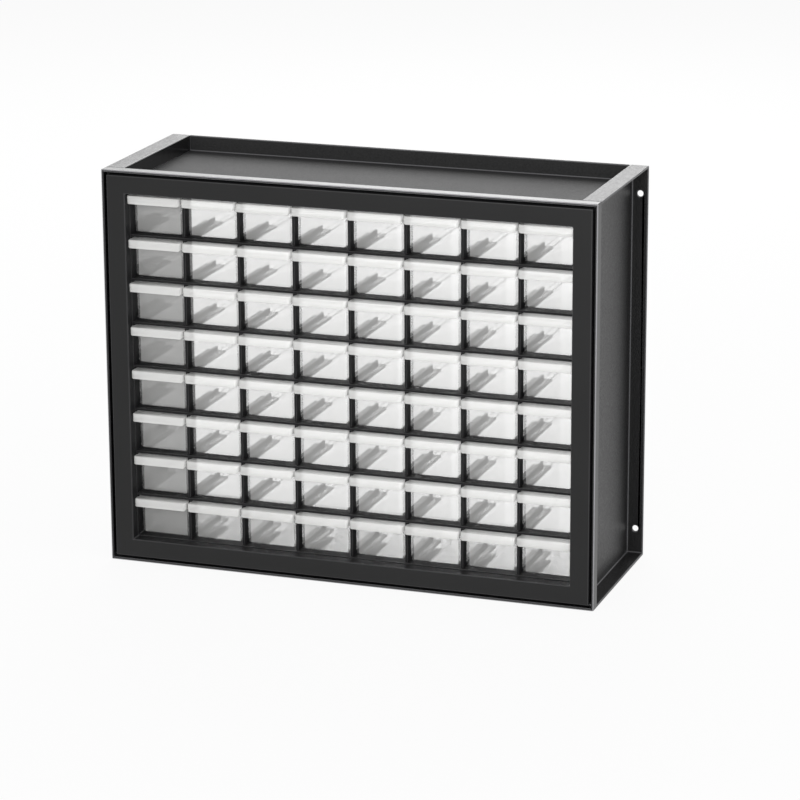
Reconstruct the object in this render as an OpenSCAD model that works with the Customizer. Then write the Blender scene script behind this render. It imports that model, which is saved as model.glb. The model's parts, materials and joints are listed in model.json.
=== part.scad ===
// Parts bin cabinet with small clear drawers.
// Lengths are in millimetres. The origin is at the middle of the footprint, on the
// surface that the cabinet stands on. The front faces -Y and +Z is up.
// A depth is measured backwards from the front face.

/* [Cabinet] */
// Overall width
cabinet_w = 495.3; // [410:0.1:600]
// Overall depth
cabinet_d = 177.8; // [145:0.1:240]
// Overall height
cabinet_h = 393.7; // [325:0.1:480]
// How far the side panels lie inside the outline
side_recess = 16; // [10:0.5:19]
// How far the tray floor and the bottom panel lie inside the outline
tray_recess = 15.5; // [10:0.5:19]
// Thickness of the side panels
side_t = 3; // [2:0.1:3.6]
// Thickness of the tray, of the bottom panel and of the flanges
sheet_t = 2.5; // [1.5:0.1:3]

/* [Front] */
// Wall of the outer rim
rim_t = 2.5; // [2:0.1:4]
// Depth of the outer rim
rim_depth = 12; // [10:0.5:16]
// Width of the dark groove between the rim and the bezel
groove = 2.6; // [1:0.1:4]
// Outline to window, at the sides
border_w = 24; // [23:0.1:32]
// Outline to window, at the top and the bottom
border_h = 23; // [22:0.1:32]
// Thickness of the bezel's face
bezel_t = 3; // [2:0.1:4]
// Wall of the bezel's returns
return_t = 2; // [1.5:0.1:3]
// How far the bezel covers the grid's frame at the sides
frame_cover = 0; // [0:0.1:0.5]
// How far the grid's frame shows inside the window at the top and the bottom
frame_reveal = 0.9; // [0:0.1:2]

/* [Drawer grid] */
// Depth of the bars of the grid, front to back
grid_depth = 13; // [8:0.5:14]
// Height of a shelf bar
bar_t = 2.5; // [1.6:0.1:4]
// Width of a divider post
post_t = 2.5; // [1.6:0.1:3]
// How far the posts stand behind the front of the bars
post_setback = 1.5; // [0.5:0.5:4]
// Length of a rail behind the grid
rail_length = 66; // [40:1:90]
// Reach of a rail's flange to either side of the grid line
rail_reach = 9.5; // [6:0.1:12]
// Height of a rail's web above its flange
rail_web_h = 3.6; // [2:0.1:6]

/* [Drawer] */
// Depth of a drawer's front wall behind the cabinet's front face
drawer_inset = 20; // [18:0.5:24]
// Space behind a drawer, to the cabinet's rear
rear_gap = 16.3; // [5:0.1:30]
// Wall of a drawer
wall_t = 1.5; // [1:0.1:2.5]
// Bevel along the lower edges of a drawer
edge_bevel = 1.5; // [0.5:0.1:2.5]
// How far the finger lip stands out from the front wall
lip_reach = 15.5; // [10:0.5:17]
// Height of the finger lip's skirt
lip_h = 8.2; // [6:0.1:12]
// Corner radius of the finger lip, seen from above
lip_r = 3; // [2:0.5:9]

/* [Clearances] */
// Running gap between a drawer and the rails under it
lift_gap = 0.3; // [0.2:0.05:0.6]
// Gap between a drawer and the bar above it
head_gap = 1.5; // [0.8:0.1:2.5]
// Gap between a drawer's side and the post beside it
side_gap = 0.9; // [0.6:0.1:1.5]
// Gap between the finger lip's end and the post beside it
lip_gap = 0.4; // [0.3:0.1:1.2]
// Gap around the posts in the slots of the bars, and around the bezel's return
slot_gap = 0.3; // [0.1:0.05:0.5]

/* [Wall mounting] */
// Diameter of the holes in the rear flanges
hole_d = 6; // [4:0.1:8]
// Hole centre to the cabinet's side
hole_side = 8; // [5:0.1:9]
// Hole centre to the cabinet's top or bottom
hole_end = 27.5; // [15:0.5:60]

/* [Hidden] */
// The work divides the cabinet into a fixed number of drawers, because each drawer
// or pair of drawers is a node of its own.
columns = 8;
rows = 8;
// Rows 1 to 4, counted from the top, hold single drawers. The rows below move in pairs.
single_rows = 4;
// Facets of a lip corner and of a hole
corner_steps = 4;
hole_facets = 48;
// A cut runs this far past the face that it opens
cut = 1;

half_w = cabinet_w / 2;
front_y = -cabinet_d / 2;

// Side panels, tray and bottom panel
inner_x = half_w - side_recess - side_t;
tray_z = cabinet_h - tray_recess;
floor_z = tray_recess;

// Front plate of the rim, which closes the space behind the bezel
plate_w = border_w - return_t - slot_gap;
plate_h = border_h - return_t - slot_gap;
plate_d = rim_depth - sheet_t;
bezel_inset = rim_t + groove;

// Clear field inside the grid's frame, and the grid lines. The frame fills the space
// from the field out to the panels.
grid_front = rim_depth;
grid_back = grid_front + grid_depth;
grid_mid = grid_front + grid_depth / 2;
post_front = grid_front + post_setback;
field_x = half_w - border_w + frame_cover;
field_bottom = border_h + frame_reveal;
field_top = cabinet_h - field_bottom;
frame_side_t = inner_x - field_x;
frame_top_t = field_bottom - floor_z - sheet_t;
col_pitch = (2 * field_x + post_t) / columns;
row_pitch = (field_top - field_bottom + bar_t) / rows;
rail_end = grid_back + rail_length;

// Drawer, measured from its own front wall and underside
drawer_w = col_pitch - post_t - 2 * side_gap;
lip_w = col_pitch - post_t - 2 * lip_gap;
drawer_h = row_pitch - bar_t - lift_gap - head_gap;
drawer_length = cabinet_d - rear_gap - drawer_inset;

// Names of the drawer nodes: one for each drawer of the single rows, one for each pair
// of the rows below
function single_name(r, c) = str("drawer_r", r, "_c", c);
function pair_name(r, c) = str("drawers_r", r, "_c", c, "_c", c + 1);

// Grid line between columns, from 0 at the left to columns at the right
function line_x(c) = (c - columns / 2) * col_pitch;
// Grid line between rows, from 0 at the top to rows at the bottom
function line_z(r) = field_bottom - bar_t / 2 + (rows - r) * row_pitch;
// Points on an arc about centre
function arc(centre, radius, from, to) = [
    for (i = [0 : corner_steps])
        let (a = from + (to - from) * i / corner_steps)
            centre + radius * [cos(a), sin(a)]
];

module black_plastic() color([0.12, 0.12, 0.13]) children();

module clear_plastic() color([0.9, 0.92, 0.93, 0.75]) children();

// Block between two x, two depths and two z
module block(x, d, z)
    translate([x[0], front_y + d[0], z[0]])
        cube([x[1] - x[0], d[1] - d[0], z[1] - z[0]]);

// Rectangular ring that lies inset inside the outline, with members this wide at the
// sides and this high at the top and bottom
module ring(inset, member, d)
    difference() {
        block(
            [inset[0] - half_w, half_w - inset[0]],
            d,
            [inset[1], cabinet_h - inset[1]]
        );
        block(
            [inset[0] + member[0] - half_w, half_w - inset[0] - member[0]],
            [d[0] - cut, d[1] + cut],
            [inset[1] + member[1], cabinet_h - inset[1] - member[1]]
        );
    }

// Outline in x and z, drawn from one depth back to another
module profile(x, d, z)
    translate([x, front_y + d[1], z])
        rotate([90, 0, 0])
            linear_extrude(d[1] - d[0])
                children();

module front_rim()
    black_plastic() {
        ring([0, 0], [rim_t, rim_t], [0, rim_depth]);
        ring([0, 0], [plate_w, plate_h], [plate_d, rim_depth]);
    }

module front_bezel()
    black_plastic() {
        face = [border_w - bezel_inset, border_h - bezel_inset];
        ring([bezel_inset, bezel_inset], face, [0, bezel_t]);
        ring([bezel_inset, bezel_inset], [return_t, return_t], [0, plate_d]);
        ring([border_w - return_t, border_h - return_t], [return_t, return_t], [0, rim_depth]);
    }

// Panel that spans the side panels behind the rim, with a rear wall out to the outline
module pan(web, wall)
    black_plastic() {
        x = [-inner_x, inner_x];
        block(x, [rim_depth, cabinet_d], web);
        block(x, [cabinet_d - sheet_t, cabinet_d], wall);
    }

module top_tray() pan([tray_z - sheet_t, tray_z], [tray_z - sheet_t, cabinet_h]);

module bottom_panel() pan([floor_z, floor_z + sheet_t], [0, floor_z + sheet_t]);

// Dished panel: a web, with flanges out to the cabinet's outline at the top, bottom and rear
module right_side_panel()
    black_plastic() difference() {
        depth = [rim_depth, cabinet_d];
        flange = [inner_x, half_w];
        union() {
            block([inner_x, inner_x + side_t], depth, [0, cabinet_h]);
            block(flange, depth, [0, sheet_t]);
            block(flange, depth, [cabinet_h - sheet_t, cabinet_h]);
            block(flange, [cabinet_d - sheet_t, cabinet_d], [0, cabinet_h]);
        }
        for (z = [hole_end, cabinet_h - hole_end])
            profile(half_w - hole_side, [cabinet_d - sheet_t - cut, cabinet_d + cut], z)
                circle(d = hole_d, $fn = hole_facets);
    }

module left_side_panel() mirror([1, 0, 0]) right_side_panel();

module grid_frame()
    black_plastic()
        ring(
            [half_w - inner_x, floor_z + sheet_t],
            [frame_side_t, frame_top_t],
            [grid_front, grid_back]
        );

// Shelf bars run from side to side, slotted from behind for the posts
module shelf_bars()
    black_plastic() for (r = [1 : rows - 1]) difference() {
        z = [line_z(r) - bar_t / 2, line_z(r) + bar_t / 2];
        slot = post_t / 2 + slot_gap;
        block([-field_x, field_x], [grid_front, grid_back], z);
        for (c = [1 : columns - 1])
            block(
                [line_x(c) - slot, line_x(c) + slot],
                [grid_mid, grid_back + cut],
                [z[0] - cut, z[1] + cut]
            );
    }

// Posts run from bottom to top, slotted from the front for the shelf bars
module divider_posts()
    black_plastic() for (c = [1 : columns - 1]) difference() {
        x = [line_x(c) - post_t / 2, line_x(c) + post_t / 2];
        slot = bar_t / 2 + slot_gap;
        block(x, [post_front, grid_back], [field_bottom, field_top]);
        for (r = [1 : rows - 1])
            block(
                [x[0] - cut, x[1] + cut],
                [post_front - cut, grid_mid],
                [line_z(r) - slot, line_z(r) + slot]
            );
    }

// Inverted T behind each crossing: the flange carries two drawers, the web parts them
module drawer_rails()
    black_plastic() for (r = [1 : rows], c = [1 : columns - 1])
        profile(line_x(c), [grid_back, rail_end], line_z(r)) {
            translate([-rail_reach, -bar_t / 2])
                square([2 * rail_reach, bar_t]);
            translate([-post_t / 2, -bar_t / 2])
                square([post_t, bar_t + rail_web_h]);
        }

// Half of that rail against the side panel, as wide as the gap beside the end drawer
module right_side_rails()
    black_plastic() for (r = [1 : rows])
        profile(inner_x, [grid_back, rail_end], line_z(r)) {
            reach = inner_x - line_x(columns) + rail_reach;
            translate([-reach, -bar_t / 2])
                square([reach, bar_t]);
            translate([-frame_side_t, -bar_t / 2])
                square([frame_side_t, bar_t + rail_web_h]);
        }

module left_side_rails() mirror([1, 0, 0]) right_side_rails();

// Tub with an open top, seen from the front: bevelled along both lower edges
module drawer_section(inset)
    let (w = drawer_w / 2 - inset, bevel = edge_bevel)
        polygon([
            [-w, drawer_h + 2 * inset], [-w, bevel + inset], [-w + bevel, inset],
            [w - bevel, inset], [w, bevel + inset], [w, drawer_h + 2 * inset]
        ]);

// Plan of the finger lip: rounded at both front corners, and closed by the front wall
module lip_plan(inset)
    let (w = lip_w / 2 - inset, front = lip_reach - inset, r = lip_r - inset)
        polygon(concat(
            [[w, wall_t], [-w, wall_t]],
            arc([r - w, r - front], r, 180, 270),
            arc([w - r, r - front], r, 270, 360)
        ));

// Drawer in column c of row r: a tub, and a hollow finger lip that is open below
module drawer(r, c)
    clear_plastic() {
        x = line_x(c - 0.5);
        z = line_z(r) + bar_t / 2 + lift_gap;
        length = [drawer_inset, drawer_inset + drawer_length];
        difference() {
            union() {
                profile(x, length, z)
                    drawer_section(0);
                translate([x, front_y + drawer_inset, z + drawer_h - lip_h])
                    linear_extrude(lip_h)
                        lip_plan(0);
            }
            profile(x, [length[0] + wall_t, length[1] - wall_t], z)
                drawer_section(wall_t);
            translate([x, front_y + drawer_inset, z + drawer_h - lip_h - cut])
                linear_extrude(lip_h - wall_t + cut)
                    intersection() {
                        lip_plan(wall_t);
                        translate([-lip_w / 2, -lip_reach])
                            square([lip_w, lip_reach]);
                    }
        }
    }

front_rim();
front_bezel();
top_tray();
bottom_panel();
left_side_panel();
right_side_panel();
grid_frame();
shelf_bars();
divider_posts();
drawer_rails();
left_side_rails();
right_side_rails();
for (r = [1 : single_rows], c = [1 : columns])
    drawer(r, c);
for (r = [single_rows + 1 : rows], c = [1 : 2 : columns])
    union() {
        drawer(r, c);
        drawer(r, c + 1);
    }
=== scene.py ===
"""Parts bin cabinet with small clear drawers: rounded black mouldings, a repeated rail, a
repeated drawer, and the studio that they stand in. Lengths are in metres."""

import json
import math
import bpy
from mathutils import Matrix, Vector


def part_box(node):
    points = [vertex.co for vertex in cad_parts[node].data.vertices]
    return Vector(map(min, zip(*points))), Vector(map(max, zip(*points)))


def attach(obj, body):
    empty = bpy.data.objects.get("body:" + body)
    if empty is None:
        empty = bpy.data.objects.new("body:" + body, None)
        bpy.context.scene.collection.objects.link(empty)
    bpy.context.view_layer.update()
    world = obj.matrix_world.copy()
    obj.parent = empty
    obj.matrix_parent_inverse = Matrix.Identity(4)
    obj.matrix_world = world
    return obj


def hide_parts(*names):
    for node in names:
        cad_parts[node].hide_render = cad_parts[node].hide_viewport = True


bl_info = {
    "name": "Parts Bin Cabinet",
    "version": (1, 0, 0),
    "blender": (4, 5, 0),
    "location": "View3D > Sidebar > Cabinet",
    "description": "Builds a cabinet of small clear drawers on its packed frame",
    "category": "Add Mesh",
}

import bmesh
import bpy
from bpy.props import FloatProperty, FloatVectorProperty, PointerProperty
from mathutils import Matrix, Vector

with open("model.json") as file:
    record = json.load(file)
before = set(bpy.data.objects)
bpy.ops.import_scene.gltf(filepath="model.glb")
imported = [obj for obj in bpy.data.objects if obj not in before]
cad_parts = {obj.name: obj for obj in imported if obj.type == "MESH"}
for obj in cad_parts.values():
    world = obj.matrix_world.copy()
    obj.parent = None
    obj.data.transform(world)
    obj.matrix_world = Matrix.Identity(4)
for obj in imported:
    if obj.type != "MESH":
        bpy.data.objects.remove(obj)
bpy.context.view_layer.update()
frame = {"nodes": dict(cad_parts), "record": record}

MM = 0.001
# Points that are closer than this are one point
SAME_POINT = 0.001 * MM


def extent(node, axis):
    """Length of a node along an axis."""
    low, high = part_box(node)
    return high[axis] - low[axis]


# The grid of drawers, and its own sizes, taken from where its pieces stand
COLUMNS, ROWS = 8, 8
COLUMN_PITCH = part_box("drawer_r1_c2")[0].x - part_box("drawer_r1_c1")[0].x
ROW_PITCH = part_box("drawer_r1_c1")[0].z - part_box("drawer_r2_c1")[0].z
POST_WIDTH = extent("divider_posts", 0) - (COLUMNS - 2) * COLUMN_PITCH
BAR_HEIGHT = extent("shelf_bars", 2) - (ROWS - 2) * ROW_PITCH
LIP_WIDTH = extent("drawer_r1_c1", 0)
DRAWER_HEIGHT = extent("drawer_r1_c1", 2)
DRAWER_DEPTH = extent("drawer_r1_c1", 1)
# From the front of a closed drawer's lip back to the posts
POST_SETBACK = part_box("divider_posts")[0].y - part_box("drawer_r1_c1")[0].y
# Half the width that the lips have between the sides of the window
LIP_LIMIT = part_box("drawer_r1_c8")[1].x

# Small roundings and gaps of a drawer, and the steps of a quarter of a circle
EDGE_CHAMFER = 0.3 * MM
FOLD_DEPTH = 1.6 * MM
INSIDE_RADIUS = 0.4 * MM
LIP_TOP_RADIUS = 0.9 * MM
LIP_TO_POST = 0.6 * MM
LIP_TO_CORNER = 0.1 * MM
ARC_STEPS = 4

# What a drawer's faces are marked with, in the order of their finishes
WALL, LIP, EDGE, FRONT, CORNER = range(5)

# Angles between faces, above which an edge is more than a seam in a flat face, is rounded, or
# is shaded as sharp
FLAT_SEAM = math.radians(0.5)
ROUNDED_FOLD = math.radians(30)
MOULDING_FOLD = math.radians(60)
DRAWER_FOLD = math.radians(50)
RAIL_FOLD = math.radians(40)

# The studio: half the floor's width, its depth below the cabinet, the white that is seen on
# it, and the point that the lamps face
FLOOR_HALF_WIDTH = 12
FLOOR_GAP = 0.2 * MM
FLOOR_WHITE = 0.92
LAMP_AIM = (0, 0, 0.2)
# Name, place, width in metres and power in watts
SOFTBOXES = (
    ("Key softbox", (0.3, -3.4, 1.3), 2.0, 60),
    ("Fill softbox", (2.6, -0.6, 1.3), 1.6, 20),
    ("Back softbox", (-0.6, 2.15, 1.7), 2.0, 38),
)

# Grain of the smooth mouldings, and the size and strength of the clouds in every black
FINE_GRAIN = 0.5 * MM
CLOUD_SCALE = 14.0
CLOUD_LIGHTNESS = 1.7
CLOUD_SPREAD = 0.06


# Settings


class CabinetSizes(bpy.types.PropertyGroup):
    edge_radius: FloatProperty(
        name="Edge Radius",
        description="Rounding of the edges and folds of the black mouldings",
        default=1.0 * MM, min=0.1 * MM, max=1.2 * MM, unit="LENGTH", precision=4,
    )
    grid_edge_radius: FloatProperty(
        name="Grid Edge Radius",
        description="Rounding of the edges of the bars, posts and rails",
        default=0.5 * MM, min=0.1 * MM, max=0.6 * MM, unit="LENGTH", precision=4,
    )
    wall: FloatProperty(
        name="Drawer Wall",
        description="Thickness of a drawer's wall, as its edges show it",
        default=1.5 * MM, min=1.0 * MM, max=2.0 * MM, unit="LENGTH", precision=4,
    )
    corner_radius: FloatProperty(
        name="Drawer Corner Radius",
        description="Rounding of a drawer's upright corners and of its lower edges",
        default=3.5 * MM, min=0.5 * MM, max=5.0 * MM, unit="LENGTH", precision=4,
    )
    lip_reach: FloatProperty(
        name="Lip Reach",
        description="How far the finger lip stands out from the front wall",
        default=15.5 * MM, min=10 * MM, max=17 * MM, unit="LENGTH", precision=4,
    )
    lip_height: FloatProperty(
        name="Lip Height",
        description="Height of the finger lip's skirt",
        default=8.2 * MM, min=6 * MM, max=12 * MM, unit="LENGTH", precision=4,
    )
    lip_radius: FloatProperty(
        name="Lip Corner Radius",
        description="Rounding of the finger lip's corners, seen from above",
        default=3 * MM, min=2 * MM, max=9 * MM, unit="LENGTH", precision=4,
    )
    skirt_radius: FloatProperty(
        name="Skirt Corner Radius",
        description="Rounding of the finger lip's lower corners, seen from the front",
        default=2.2 * MM, min=0.5 * MM, max=4 * MM, unit="LENGTH", precision=4,
    )
    lip_overhang: FloatProperty(
        name="Lip Overhang",
        description="How far the finger lip is wider than the drawer on each side",
        default=0.5 * MM, min=0.0, max=1.0 * MM, unit="LENGTH", precision=4,
    )
    lip_wing: FloatProperty(
        name="Lip Wing",
        description="How much wider the finger lip is where it stands in front of the posts",
        default=0.9 * MM, min=0.0, max=1.2 * MM, unit="LENGTH", precision=4,
    )


class CabinetFinish(bpy.types.PropertyGroup):
    black: FloatVectorProperty(
        name="Black Plastic",
        description="Colour of the black mouldings",
        default=(0.0046, 0.0046, 0.0048), min=0.0, max=1.0, subtype="COLOR",
    )
    satin_roughness: FloatProperty(
        name="Satin Roughness",
        description="Roughness of the rim and the bezel",
        default=0.31, min=0.0, max=1.0, subtype="FACTOR",
    )
    grain_roughness: FloatProperty(
        name="Grain Roughness",
        description="Roughness of the grained side panels and the bottom",
        default=0.43, min=0.0, max=1.0, subtype="FACTOR",
    )
    tray_roughness: FloatProperty(
        name="Tray Roughness",
        description="Roughness of the grained tray",
        default=0.70, min=0.0, max=1.0, subtype="FACTOR",
    )
    grain_size: FloatProperty(
        name="Grain Size",
        description="Width of one grain of the panels' texture",
        default=1.5 * MM, min=0.3 * MM, max=3 * MM, unit="LENGTH", precision=4,
    )
    clear: FloatVectorProperty(
        name="Clear Plastic",
        description="Colour of the haze in the drawers",
        default=(0.92, 0.92, 0.905), min=0.0, max=1.0, subtype="COLOR",
    )
    haze: FloatProperty(
        name="Haze",
        description="Share of the light that a drawer's bottom, side or rear wall keeps back",
        default=0.12, min=0.0, max=1.0, subtype="FACTOR",
    )
    front_haze: FloatProperty(
        name="Front Haze",
        description="Share of the light that a drawer's front wall keeps back",
        default=0.29, min=0.0, max=1.0, subtype="FACTOR",
    )
    lip_haze: FloatProperty(
        name="Lip Haze",
        description="Share of the light that a wall of the finger lip keeps back",
        default=0.60, min=0.0, max=1.0, subtype="FACTOR",
    )
    edge_haze: FloatProperty(
        name="Edge Haze",
        description="Share of the light that a wall keeps back where it is seen edge on",
        default=0.60, min=0.0, max=1.0, subtype="FACTOR",
    )
    # Painted shade: a grey haze on the drawers' upright front corners, standing in for the light
    # that these corners bend away
    corner: FloatVectorProperty(
        name="Corner",
        description="Tone of the drawers' upright front corners, which bend the light away",
        default=(0.2, 0.2, 0.2), min=0.0, max=1.0, subtype="COLOR",
    )
    corner_haze: FloatProperty(
        name="Corner Haze",
        description="Share of the light that an upright front corner keeps back",
        default=0.38, min=0.0, max=1.0, subtype="FACTOR",
    )


class CabinetStudio(bpy.types.PropertyGroup):
    azimuth: FloatProperty(
        name="Camera Azimuth",
        description="Direction of the camera, from the front towards the right side",
        default=math.radians(19.24), subtype="ANGLE",
    )
    elevation: FloatProperty(
        name="Camera Elevation",
        description="Height of the camera above the horizon",
        default=math.radians(15.97), subtype="ANGLE",
    )
    roll: FloatProperty(
        name="Camera Roll",
        description="Tilt of the camera about its own line of sight",
        default=math.radians(-0.25), subtype="ANGLE",
    )
    distance: FloatProperty(
        name="Camera Distance",
        description="From the camera to the point that it looks at",
        default=3.364, min=0.5, max=10.0, subtype="DISTANCE",
    )
    look_at: FloatVectorProperty(
        name="Look At",
        description="The point that the camera looks at",
        default=(0.0241, 0.0, 0.1637), subtype="XYZ", unit="LENGTH",
    )
    lens: FloatProperty(
        name="Lens",
        description="Focal length in millimetres on a 36 mm sensor",
        default=155.2, min=20.0, max=400.0,
    )
    floor: FloatVectorProperty(
        name="Floor",
        description="Colour of the floor",
        default=(0.80, 0.80, 0.80), min=0.0, max=1.0, subtype="COLOR",
    )
    ambient: FloatProperty(
        name="Ambient",
        description="Strength of the light that comes from all around",
        default=0.5, min=0.0, max=2.0,
    )


# Nodes


class Socket:
    """An output socket that adds Math nodes to its tree when it is used in an expression."""

    def __init__(self, nodes, socket):
        self.nodes, self.socket = nodes, socket

    def maths(self, operation, *values):
        return self.nodes.add("ShaderNodeMath", {"operation": operation}, *values)

    def __add__(self, other):
        return self.maths("ADD", self, other)

    __radd__ = __add__

    def __mul__(self, other):
        return self.maths("MULTIPLY", self, other)

    __rmul__ = __mul__

    def __sub__(self, other):
        return self.maths("SUBTRACT", self, other)

    def __rsub__(self, other):
        return self.maths("SUBTRACT", other, self)

    def __mod__(self, other):
        return self.maths("FLOORED_MODULO", self, other)

    def __floordiv__(self, other):
        return self.maths("FLOOR", self.maths("DIVIDE", self, other))

    def at_least(self, other):
        return self.maths("MAXIMUM", self, other)

    def at_most(self, other):
        return self.maths("MINIMUM", self, other)

    def below(self, other):
        return self.maths("LESS_THAN", self, other)

    def equals(self, other):
        return self.maths("COMPARE", self, other, 0.1)


class Nodes:
    """A node tree that is filled through one method."""

    def __init__(self, tree):
        self.tree = tree
        tree.nodes.clear()

    def add(self, kind, settings=None, *values, output=0, **named):
        """Adds a node, makes its settings, then gives values or links to its sockets, in
        order or by name, and returns one of its outputs."""
        node = self.tree.nodes.new(kind)
        for name, value in (settings or {}).items():
            setattr(node, name, value)
        for name, value in [*enumerate(values), *named.items()]:
            socket = node.inputs[name] if isinstance(name, int) else self.in_use(node, name)
            if isinstance(value, Socket):
                self.tree.links.new(value.socket, socket)
            else:
                socket.default_value = value
        return Socket(self, node.outputs[output]) if node.outputs else node

    def in_use(self, node, name):
        """The input of this name that the node's settings leave in use."""
        name = name.replace("_", " ")
        return next(socket for socket in node.inputs if socket.name == name and socket.enabled)


def material(name):
    made = bpy.data.materials.new(name)
    made.use_nodes = True
    return made, Nodes(made.node_tree)


def moulded_black(name, roughness, grain, bump, gloss, lightness=1.0, spread=0.12):
    """Black plastic with a moulded grain and an uneven gloss: its roughness has this spread
    between the grains."""
    finish = bpy.context.scene.cabinet_finish
    made, nodes = material(name)
    place = nodes.add("ShaderNodeTexCoord", output="Object")
    grains = nodes.add(
        "ShaderNodeTexNoise", {}, Vector=place, Scale=1 / grain, Detail=3.0, Roughness=0.6
    )
    clouds = nodes.add(
        "ShaderNodeTexNoise", {}, Vector=place, Scale=CLOUD_SCALE, Detail=4.0, Roughness=0.55
    )
    tone = nodes.add(
        "ShaderNodeMix", {"data_type": "RGBA"}, clouds,
        A=(*[c * lightness for c in finish.black], 1),
        B=(*[c * lightness * CLOUD_LIGHTNESS for c in finish.black], 1), output=2,
    )
    dents = nodes.add("ShaderNodeBump", {}, Strength=bump, Distance=grain / 5, Height=grains)
    smoothest = roughness - CLOUD_SPREAD / 2 - spread / 2
    shader = nodes.add(
        "ShaderNodeBsdfPrincipled", {}, Base_Color=tone,
        Roughness=smoothest + CLOUD_SPREAD * clouds + spread * grains, Normal=dents,
        Specular_IOR_Level=gloss,
    )
    nodes.add("ShaderNodeOutputMaterial", {}, shader)
    return made


def clear_plastic(name, tone, haze, roughness):
    """Clear plastic with a haze of this tone and a faintly wavy surface, drawn out along the
    way that the drawer slides. Its haze is the same all over it."""
    made, nodes = material(name)
    place = nodes.add("ShaderNodeTexCoord", output="Object")
    along = nodes.add("ShaderNodeMapping", {}, Vector=place, Scale=(1, 0.15, 1))
    waves = nodes.add("ShaderNodeTexNoise", {}, Vector=along, Scale=300.0, Detail=2.0)
    ripples = nodes.add("ShaderNodeBump", {}, Strength=0.3, Distance=0.2 * MM, Height=waves)
    shader = nodes.add(
        "ShaderNodeBsdfPrincipled", {},
        Base_Color=(*tone, 1), Roughness=roughness, IOR=1.5, Alpha=haze, Normal=ripples,
    )
    nodes.add("ShaderNodeOutputMaterial", {}, shader)
    return made


def finishes():
    """The cabinet's materials, made once."""
    finish = bpy.context.scene.cabinet_finish
    if "Satin black" not in bpy.data.materials:
        moulded_black(
            "Satin black", finish.satin_roughness, FINE_GRAIN, bump=0.05, gloss=0.32
        )
        moulded_black(
            "Grained black", finish.grain_roughness, finish.grain_size,
            bump=0.8, gloss=0.48, spread=0.5,
        )
        moulded_black(
            "Tray black", finish.tray_roughness, finish.grain_size,
            bump=0.8, gloss=0.45, spread=0.5,
        )
        moulded_black("Smooth black", 0.45, FINE_GRAIN, bump=0.03, gloss=0.03, lightness=3.0)
        moulded_black("Inner black", 0.2, FINE_GRAIN, bump=0.03, gloss=1.0)
        # Painted highlights: lighter blacks on the rounded edges and folds, standing in for the
        # light that these edges catch
        moulded_black("Rubbed edge", 0.35, FINE_GRAIN, bump=0.05, gloss=0.35, lightness=4.0)
        moulded_black("Worn edge", 0.35, FINE_GRAIN, bump=0.05, gloss=0.35, lightness=14.0)
        # Painted highlight on the outer rounding of the rim's front: a far lighter black
        moulded_black("Lit edge", 0.35, FINE_GRAIN, bump=0.05, gloss=0.6, lightness=40.0)
        clear_plastic("Clear drawer", finish.clear, finish.haze, roughness=0.12)
        clear_plastic("Clear drawer front", finish.clear, finish.front_haze, roughness=0.15)
        clear_plastic("Clear drawer lip", finish.clear, finish.lip_haze, roughness=0.15)
        clear_plastic("Clear drawer edge", finish.clear, finish.edge_haze, roughness=0.2)
        # Painted shade on the upright front corners: a grey haze in place of clear plastic
        clear_plastic("Clear drawer corner", finish.corner, finish.corner_haze, roughness=0.2)
    return bpy.data.materials


# Meshes


def shade(mesh, sharp_angle):
    """Smooths a mesh, apart from the edges that are sharper than this."""
    mesh.shade_smooth()
    mesh.set_sharp_from_angle(angle=sharp_angle)


def made_plain(piece):
    """Turns a piece's evaluated shape into its own plain mesh and drops its modifiers."""
    graph = bpy.context.evaluated_depsgraph_get()
    mesh = bpy.data.meshes.new_from_object(piece.evaluated_get(graph), depsgraph=graph)
    piece.modifiers.clear()
    old, piece.data = piece.data, mesh
    bpy.data.meshes.remove(old)
    return piece


def linked(name, mesh):
    """An object for a mesh, in the scene."""
    piece = bpy.data.objects.new(name, mesh)
    bpy.context.scene.collection.objects.link(piece)
    return piece


def round_edges(piece, radius, segments=3, slot=-1):
    """Rounds every sharp edge, gives the rounding a material slot, joins the points that meet
    where two roundings do, and keeps the flat faces flat."""
    bevel = piece.modifiers.new("Rounding", "BEVEL")
    bevel.material = slot
    bevel.width, bevel.segments = radius, segments
    bevel.limit_method, bevel.angle_limit = "ANGLE", ROUNDED_FOLD
    piece.modifiers.new("Closed faces", "WELD").merge_threshold = SAME_POINT
    piece.modifiers.new("Flat faces", "WEIGHTED_NORMAL").weight = 80
    return made_plain(piece)


def rounded_copy(node, radius, finish, slot, inner=None, inner_finish=None):
    """Stands a copy of a node in its place, with a finish and with round edges in a lighter
    black, a painted highlight, and with another finish on the faces whose normals pass the inner
    test."""
    mesh = frame["nodes"][node].data.copy()
    work = bmesh.new()
    work.from_mesh(mesh)
    bmesh.ops.remove_doubles(work, verts=work.verts, dist=SAME_POINT)
    bmesh.ops.dissolve_limit(work, angle_limit=FLAT_SEAM, verts=work.verts, edges=work.edges)
    bmesh.ops.connect_verts_concave(work, faces=work.faces)
    work.to_mesh(mesh)
    work.free()
    mesh.materials.clear()
    # The rounded edges get a painted highlight, a lighter black, lighter still on the grained
    # pieces
    edge = finishes()["Worn edge" if slot == "black_grained" else "Rubbed edge"]
    for used in (finish, edge, inner_finish)[: 3 if inner else 2]:
        mesh.materials.append(used)
    piece = linked(node + "_moulding", mesh)
    for face in mesh.polygons:
        face.material_index = 2 if inner and inner(face.normal) else 0
    shade(mesh, MOULDING_FOLD)
    round_edges(piece, radius, slot=1)
    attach(piece, "cabinet")
    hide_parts(node)
    return piece


def quarter_arc(centre_x, centre_y, radius, quarter):
    """Points on a quarter of a circle, anticlockwise, from this many quarters past +X."""
    angles = [(quarter + i / ARC_STEPS) * math.pi / 2 for i in range(ARC_STEPS + 1)]
    return [
        (centre_x + radius * math.cos(a), centre_y + radius * math.sin(a)) for a in angles
    ]


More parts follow.
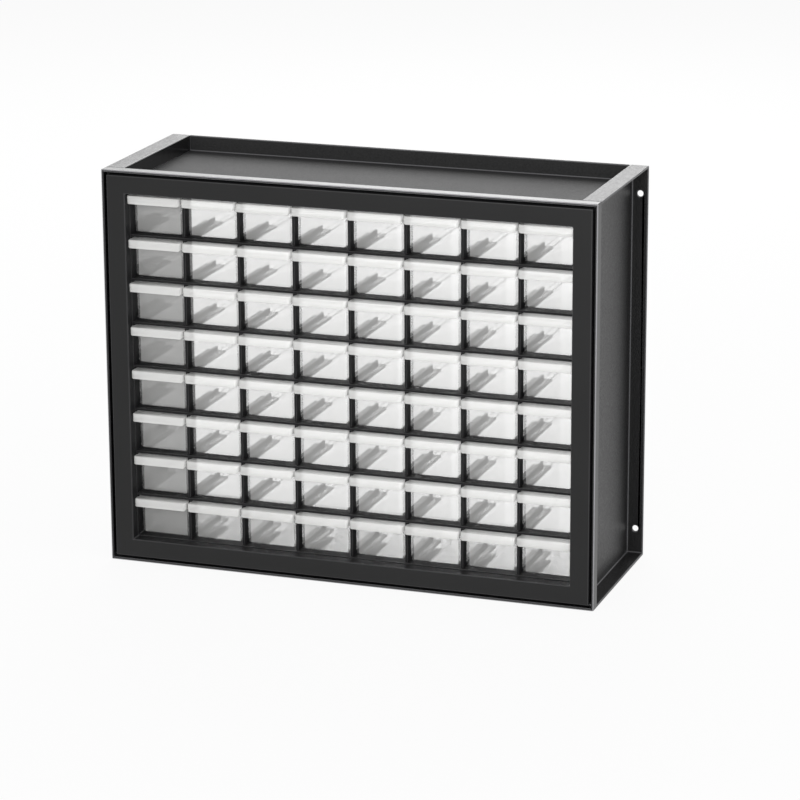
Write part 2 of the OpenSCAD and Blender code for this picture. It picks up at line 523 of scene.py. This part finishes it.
def tub_plan(half, front, back, radius):
    """Rounded rectangle, anticlockwise seen from above, from its left front corner."""
    return (
        quarter_arc(radius - half, front + radius, radius, 2)
        + quarter_arc(half - radius, front + radius, radius, 3)
        + quarter_arc(half - radius, back - radius, radius, 0)
        + quarter_arc(radius - half, back - radius, radius, 1)
    )


def lip_plan(half, wing, front, step, back, radius):
    """Open line round the finger lip, from its left end over the front to its right end. The
    wings stand out at both ends, in front of the step."""
    wide = half + wing
    return (
        [(-half, back), (-half, step), (-wide, step)]
        + quarter_arc(radius - wide, front + radius, radius, 2)
        + quarter_arc(wide - radius, front + radius, radius, 3)
        + [(wide, step), (half, step), (half, back)]
    )


def loft(work, rings, closed, part, edge_steps, mark):
    """Joins rings of points with faces. It marks them as their part, or as an edge on the
    steps that are the wall's edge."""
    rows = [[work.verts.new((x, y, z)) for x, y in plan] for plan, z in rings]
    for step, (low, high) in enumerate(zip(rows, rows[1:])):
        count = len(low) if closed else len(low) - 1
        for i in range(count):
            j = (i + 1) % len(low)
            face = work.faces.new((low[i], low[j], high[j], high[i]))
            face[mark] = EDGE if step in edge_steps else part
    return rows


def drawer_mesh():
    """One drawer, with its front wall's outer face at y = 0 and its underside at z = 0. Its
    walls are single sheets with folded edges, as thick as the wall."""
    sizes = bpy.context.scene.cabinet_sizes
    wall, corner = sizes.wall, sizes.corner_radius
    half = LIP_WIDTH / 2 - sizes.lip_overhang
    back = DRAWER_DEPTH - sizes.lip_reach
    height = DRAWER_HEIGHT
    work = bmesh.new()
    mark = work.faces.layers.int.new("part")

    def tub_ring(inset, z):
        radius = max(corner - inset, INSIDE_RADIUS)
        return tub_plan(half - inset, inset, back - inset, radius), z

    # From the underside out round the lower edge, then from the top of the wall over its edge
    chamfer = EDGE_CHAMFER
    turns = [i / ARC_STEPS * math.pi / 2 for i in range(ARC_STEPS + 1)]
    foot = [tub_ring(corner * (1 - math.sin(a)), corner * (1 - math.cos(a))) for a in turns]
    fold = [
        tub_ring(0, height - chamfer), tub_ring(chamfer, height),
        tub_ring(wall - chamfer, height), tub_ring(wall, height - chamfer),
        tub_ring(wall, height - FOLD_DEPTH),
    ]
    edge_steps = range(len(foot), len(foot + fold) - 1)
    rows = loft(work, foot + fold, True, WALL, edge_steps, mark)
    work.faces.new(list(reversed(rows[0])))

    half_lip = LIP_WIDTH / 2
    bottom = height - sizes.lip_height
    step = POST_SETBACK - sizes.lip_reach - LIP_TO_POST

    def lip_ring(inset, z, end=corner + LIP_TO_CORNER):
        plan = lip_plan(
            half_lip - inset, sizes.lip_wing, inset - sizes.lip_reach, step - inset, end,
            sizes.lip_radius - inset,
        )
        return plan, z

    # From inside the skirt round its lower edge, then up its outside and over the top, where
    # the upper two of the three steps show as an edge
    fold = [
        lip_ring(wall, bottom + FOLD_DEPTH), lip_ring(wall, bottom + chamfer),
        lip_ring(wall - chamfer, bottom), lip_ring(chamfer, bottom),
        lip_ring(0, bottom + chamfer),
    ]
    top = [
        lip_ring(LIP_TOP_RADIUS * (1 - math.cos(a)), height - LIP_TOP_RADIUS * (1 - math.sin(a)))
        for a in (0, math.radians(30), math.radians(60))
    ]
    top.append(lip_ring(LIP_TOP_RADIUS, height, end=0))
    last = len(fold + top) - 1
    edge_steps = [*range(len(fold) - 1), last - 2, last - 1]
    rows = loft(work, fold + top, False, LIP, edge_steps, mark)
    work.faces.new(rows[-1])[mark] = LIP

    # Lift the skirt's lower edge towards its ends, by as much as its outside turns
    turn = sizes.skirt_radius
    for i, point in enumerate(rows[len(fold) - 1]):
        past = min(max(abs(point.co.x) - (half_lip + sizes.lip_wing - turn), 0), turn)
        for row in rows[: len(fold)]:
            row[i].co.z += turn - math.sqrt(turn**2 - past**2)

    work.normal_update()
    # Front faces at the upright corners are marked for the painted shade of the corners
    for face in work.faces:
        if face[mark] == WALL and face.normal.y < -0.1:
            face[mark] = FRONT if abs(face.normal.x) < 0.02 else CORNER
    mesh = bpy.data.meshes.new("drawer")
    work.to_mesh(mesh)
    work.free()
    shade(mesh, DRAWER_FOLD)
    return mesh


def rail_mesh(name, outline, length):
    """A rail of this outline in x and z, drawn back along y."""
    work = bmesh.new()
    ring = [work.verts.new((x, 0, z)) for x, z in outline]
    front = work.faces.new(ring)
    drawn = bmesh.ops.extrude_face_region(work, geom=[front])["geom"]
    bmesh.ops.translate(
        work, vec=(0, length, 0), verts=[v for v in drawn if isinstance(v, bmesh.types.BMVert)]
    )
    bmesh.ops.recalc_face_normals(work, faces=work.faces)
    mesh = bpy.data.meshes.new(name)
    work.to_mesh(mesh)
    work.free()
    return mesh


# Repeats


def repeat_tree():
    """Puts a piece on every point of an upright grid, from its top left point, trims it at the
    side limit, drops the faces that this flattens, and gives it its material, with others on
    the faces that are marked."""
    if "Repeat on a grid" in bpy.data.node_groups:
        return bpy.data.node_groups["Repeat on a grid"]
    tree = bpy.data.node_groups.new("Repeat on a grid", "GeometryNodeTree")
    nodes = Nodes(tree)
    for name, kind in (
        ("Piece", "Object"), ("Columns", "Int"), ("Rows", "Int"), ("Column Pitch", "Float"),
        ("Row Pitch", "Float"), ("First", "Vector"), ("Material", "Material"),
        *((f"Material {part}", "Material") for part in (LIP, EDGE, FRONT, CORNER)),
        ("Side Limit", "Float"),
    ):
        tree.interface.new_socket(name=name, in_out="INPUT", socket_type="NodeSocket" + kind)
    tree.interface.new_socket(name="Geometry", in_out="OUTPUT", socket_type="NodeSocketGeometry")
    inputs = nodes.add("NodeGroupInput").socket.node.outputs
    given = {socket.name: Socket(nodes, socket) for socket in inputs if socket.name}
    index = nodes.add("GeometryNodeInputIndex")
    offset = nodes.add(
        "ShaderNodeCombineXYZ", {},
        X=(index % given["Columns"]) * given["Column Pitch"],
        Z=0 - (index // given["Columns"]) * given["Row Pitch"],
    )
    place = nodes.add("ShaderNodeVectorMath", {"operation": "ADD"}, given["First"], offset)
    points = nodes.add(
        "GeometryNodePoints", {}, Count=given["Columns"] * given["Rows"], Position=place
    )
    piece = nodes.add(
        "GeometryNodeObjectInfo", {"transform_space": "ORIGINAL"}, given["Piece"],
        output="Geometry",
    )
    placed = nodes.add("GeometryNodeInstanceOnPoints", {}, Points=points, Instance=piece)
    real = nodes.add("GeometryNodeRealizeInstances", {}, placed)
    corner = nodes.add("GeometryNodeInputPosition")
    side = nodes.add("ShaderNodeSeparateXYZ", {}, corner, output="X")
    inside = side.at_least(0 - given["Side Limit"]).at_most(given["Side Limit"])
    inward = nodes.add("ShaderNodeCombineXYZ", {}, X=inside - side)
    trimmed = nodes.add("GeometryNodeSetPosition", {}, Geometry=real, Offset=inward)
    merged = nodes.add(
        "GeometryNodeMergeByDistance", {}, Geometry=trimmed, Distance=SAME_POINT
    )
    area = nodes.add("GeometryNodeInputMeshFaceArea")
    closed = nodes.add(
        "GeometryNodeDeleteGeometry", {"domain": "FACE"}, Geometry=merged,
        Selection=area.below(SAME_POINT**2),
    )
    covered = nodes.add(
        "GeometryNodeSetMaterial", {}, Geometry=closed, Material=given["Material"]
    )
    marked = nodes.add("GeometryNodeInputNamedAttribute", {"data_type": "INT"}, Name="part")
    for part in (LIP, EDGE, FRONT, CORNER):
        covered = nodes.add(
            "GeometryNodeSetMaterial", {}, Geometry=covered, Selection=marked.equals(part),
            Material=given[f"Material {part}"],
        )
    nodes.add("NodeGroupOutput", {}, covered)
    return tree


def repeated(name, master, columns, rows, first, *finish, side_limit=1.0):
    """A plain mesh of a master piece, repeated on the cabinet's own pitches, with a finish for
    each part that its faces are marked with. Nothing reaches the side limit unless one is
    given."""
    piece = linked(name, bpy.data.meshes.new(name))
    tree = repeat_tree()
    values = {
        "Piece": master, "Columns": columns, "Rows": rows, "Column Pitch": COLUMN_PITCH,
        "Row Pitch": ROW_PITCH, "First": first, "Material": finish[0], "Side Limit": side_limit,
    }
    for part in (LIP, EDGE, FRONT, CORNER):
        values[f"Material {part}"] = finish[part % len(finish)]
    modifier = piece.modifiers.new("Repeat", "NODES")
    modifier.node_group = tree
    for item in tree.interface.items_tree:
        if item.in_out == "INPUT":
            modifier[item.identifier] = values[item.name]
    made_plain(piece)
    used = piece.data.materials
    for slot in reversed(range(len(used))):
        if used[slot] is None:
            used.pop(index=slot)
    return piece


# Operators


class CABINET_OT_studio(bpy.types.Operator):
    """Camera, floor, backdrop and soft lamps"""

    bl_idname = "cabinet.studio"
    bl_label = "Studio"

    def execute(self, context):
        studio, scene = context.scene.cabinet_studio, context.scene
        scene.view_settings.view_transform = "Standard"
        self.camera(scene, studio)
        self.floor(studio)
        self.world(scene, studio)
        for softbox in SOFTBOXES:
            self.lamp(*softbox)
        return {"FINISHED"}

    def camera(self, scene, studio):
        level = Vector((math.sin(studio.azimuth), -math.cos(studio.azimuth), 0))
        back = level * math.cos(studio.elevation) + Vector((0, 0, math.sin(studio.elevation)))
        right = Vector((0, 0, 1)).cross(back).normalized()
        up = back.cross(right)
        turn = Matrix((right, up, back)).transposed() @ Matrix.Rotation(studio.roll, 3, "Z")
        camera = bpy.data.cameras.new("Camera")
        camera.lens, camera.sensor_width = studio.lens, 36
        camera.clip_start, camera.clip_end = 0.05, 100
        seat = bpy.data.objects.new("Camera", camera)
        seat.matrix_world = Matrix.Translation(
            Vector(studio.look_at) + back * studio.distance
        ) @ turn.to_4x4()
        scene.collection.objects.link(seat)
        scene.camera = seat

    def seen(self, nodes):
        """1 for the rays that see the white backdrop, and 0 for those that light things."""
        path = nodes.add("ShaderNodeLightPath", output="Is Camera Ray")
        rays = path.socket.node.outputs
        glossy = Socket(nodes, rays["Is Glossy Ray"])
        through = Socket(nodes, rays["Is Transmission Ray"])
        return path.at_least(glossy).at_least(through)

    def floor(self, studio):
        corners = [
            (x * FLOOR_HALF_WIDTH, y * FLOOR_HALF_WIDTH, -FLOOR_GAP)
            for x, y in ((-1, -1), (1, -1), (1, 1), (-1, 1))
        ]
        mesh = bpy.data.meshes.new("floor")
        mesh.from_pydata(corners, [], [(0, 1, 2, 3)])
        floor = linked("floor", mesh)
        made, nodes = material("Pale floor")
        diffuse = nodes.add("ShaderNodeBsdfDiffuse", {}, Color=(*studio.floor, 1))
        white = nodes.add("ShaderNodeEmission", {}, Color=(1, 1, 1, 1), Strength=1.0)
        seen = self.seen(nodes) * FLOOR_WHITE
        mixed = nodes.add("ShaderNodeMixShader", {}, seen, diffuse, white)
        nodes.add("ShaderNodeOutputMaterial", {}, mixed)
        mesh.materials.append(made)

    def world(self, scene, studio):
        world = bpy.data.worlds.new("Studio")
        world.use_nodes = True
        nodes = Nodes(world.node_tree)
        seen = self.seen(nodes)
        white, light = (
            nodes.add("ShaderNodeBackground", {}, Color=(1, 1, 1, 1), Strength=strength)
            for strength in (1.0, studio.ambient)
        )
        mixed = nodes.add("ShaderNodeMixShader", {}, seen, light, white)
        nodes.add("ShaderNodeOutputWorld", {}, mixed)
        scene.world = world

    def lamp(self, name, place, width, power):
        lamp = bpy.data.lights.new(name, "AREA")
        lamp.shape, lamp.size, lamp.energy = "DISK", width, power
        seat = bpy.data.objects.new(name, lamp)
        seat.location = place
        aim = Vector(LAMP_AIM) - Vector(place)
        seat.rotation_euler = aim.to_track_quat("-Z", "Y").to_euler()
        bpy.context.scene.collection.objects.link(seat)


class CABINET_OT_shell(bpy.types.Operator):
    """Rim, bezel, tray, bottom and side panels, with rounded edges"""

    bl_idname = "cabinet.shell"
    bl_label = "Shell"

    def execute(self, context):
        radius, finish = context.scene.cabinet_sizes.edge_radius, finishes()
        rim = rounded_copy("front_rim", radius, finish["Satin black"], "black_satin")
        self.light_outer_edge(rim, finish["Lit edge"])
        rounded_copy(
            "front_bezel", radius, finish["Satin black"], "black_satin",
            lambda normal: abs(normal.y) < 0.5, finish["Smooth black"],
        )
        rounded_copy("top_tray", radius, finish["Tray black"], "black_grained")
        for node, inward in (
            ("bottom_panel", Vector((0, 0, 1))),
            ("left_side_panel", Vector((1, 0, 0))),
            ("right_side_panel", Vector((-1, 0, 0))),
        ):
            rounded_copy(
                node, radius, finish["Grained black"], "black_grained",
                lambda normal: normal.dot(inward) > 0.7, finish["Inner black"],
            )
        return {"FINISHED"}

    def light_outer_edge(self, rim, finish):
        """Gives the rounding round the outside of the rim's front a painted highlight, its own
        much lighter black.
        """
        low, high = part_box("front_rim")
        middle = (low + high) / 2
        rim.data.materials.append(finish)
        for face in rim.data.polygons:
            out = face.center - middle
            outward = max(face.normal.x * out.x, face.normal.z * out.z) > 0
            if face.material_index == 1 and face.normal.y < -0.1 and outward:
                face.material_index = 2


class CABINET_OT_grid(bpy.types.Operator):
    """Grid frame, shelf bars, divider posts and drawer rails"""

    bl_idname = "cabinet.grid"
    bl_label = "Drawer Grid"

    def execute(self, context):
        radius, finish = context.scene.cabinet_sizes.grid_edge_radius, finishes()
        for node in ("grid_frame", "shelf_bars", "divider_posts"):
            rounded_copy(node, radius, finish["Smooth black"], "black_smooth")

        # A whole rail stands between two columns, and is shaped like a T upside down
        low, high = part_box("drawer_rails")
        length = high.y - low.y
        reach = (high.x - low.x - (COLUMNS - 2) * COLUMN_PITCH) / 2
        top = high.z - low.z - (ROWS - 1) * ROW_PITCH
        web = POST_WIDTH / 2
        tee = [
            (-reach, 0), (reach, 0), (reach, BAR_HEIGHT), (web, BAR_HEIGHT),
            (web, top), (-web, top), (-web, BAR_HEIGHT), (-reach, BAR_HEIGHT),
        ]
        first = (low.x + reach, low.y, high.z - top)
        self.rails(
            "drawer_rails", tee, length, COLUMNS - 1, first, radius, finish["Satin black"]
        )

        # A side rail is half of it, on the side panel
        for node, side in (("left_side_rails", -1), ("right_side_rails", 1)):
            low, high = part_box(node)
            width = high.x - low.x
            web = width - (reach - POST_WIDTH / 2)
            wall = high.x if side > 0 else low.x
            ell = [
                (-side * width, 0), (0, 0), (0, top), (-side * web, top),
                (-side * web, BAR_HEIGHT), (-side * width, BAR_HEIGHT),
            ]
            first = (wall, low.y, high.z - top)
            length = high.y - low.y
            self.rails(node, ell, length, 1, first, radius, finish["Smooth black"])
        return {"FINISHED"}

    def rails(self, node, outline, length, columns, first, radius, finish):
        master = round_edges(linked("rail", rail_mesh("rail", outline, length)), radius, 2)
        shade(master.data, RAIL_FOLD)
        piece = repeated(node + "_run", master, columns, ROWS, first, finish)
        bpy.data.objects.remove(master)
        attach(piece, "cabinet")
        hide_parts(node)


class CABINET_OT_drawers(bpy.types.Operator):
    """Clear drawers, alone or in pairs, each riding on its own body"""

    bl_idname = "cabinet.drawers"
    bl_label = "Drawers"

    def execute(self, context):
        sizes, finish = context.scene.cabinet_sizes, finishes()
        master = linked("drawer", drawer_mesh())
        for body, nodes in frame["record"]["behaviour"]["bodies"].items():
            if body == "cabinet":
                continue
            low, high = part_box(nodes[0])
            count = round((high.x - low.x - LIP_WIDTH) / COLUMN_PITCH) + 1
            first = (low.x + LIP_WIDTH / 2, low.y + sizes.lip_reach, low.z)
            piece = repeated(
                nodes[0] + "_shell", master, count, 1, first,
                finish["Clear drawer"], finish["Clear drawer lip"], finish["Clear drawer edge"],
                finish["Clear drawer front"], finish["Clear drawer corner"],
                side_limit=LIP_LIMIT,
            )
            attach(piece, body)
            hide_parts(nodes[0])
        bpy.data.objects.remove(master)
        return {"FINISHED"}


class CABINET_PT_build(bpy.types.Panel):
    """Lists the steps that build the cabinet, and their settings"""

    bl_idname = "CABINET_PT_build"
    bl_label = "Parts Bin Cabinet"
    bl_space_type = "VIEW_3D"
    bl_region_type = "UI"
    bl_category = "Cabinet"

    def draw(self, context):
        for step in STEPS:
            self.layout.operator(step.bl_idname)
        for group in ("cabinet_sizes", "cabinet_finish", "cabinet_studio"):
            box = self.layout.box()
            settings = getattr(context.scene, group)
            for name in settings.bl_rna.properties.keys():
                if name not in ("rna_type", "name"):
                    box.prop(settings, name)


GROUPS = {
    "cabinet_sizes": CabinetSizes,
    "cabinet_finish": CabinetFinish,
    "cabinet_studio": CabinetStudio,
}
STEPS = (CABINET_OT_studio, CABINET_OT_shell, CABINET_OT_grid, CABINET_OT_drawers)


def register():
    for made in (*GROUPS.values(), *STEPS, CABINET_PT_build):
        bpy.utils.register_class(made)
    for name, group in GROUPS.items():
        setattr(bpy.types.Scene, name, PointerProperty(type=group))


def unregister():
    for name in GROUPS:
        delattr(bpy.types.Scene, name)
    for made in reversed((*GROUPS.values(), *STEPS, CABINET_PT_build)):
        bpy.utils.unregister_class(made)


def main():
    register()
    bpy.ops.cabinet.studio()
    bpy.ops.cabinet.shell()
    bpy.ops.cabinet.grid()
    bpy.ops.cabinet.drawers()


if __name__ == "__main__":
    main()
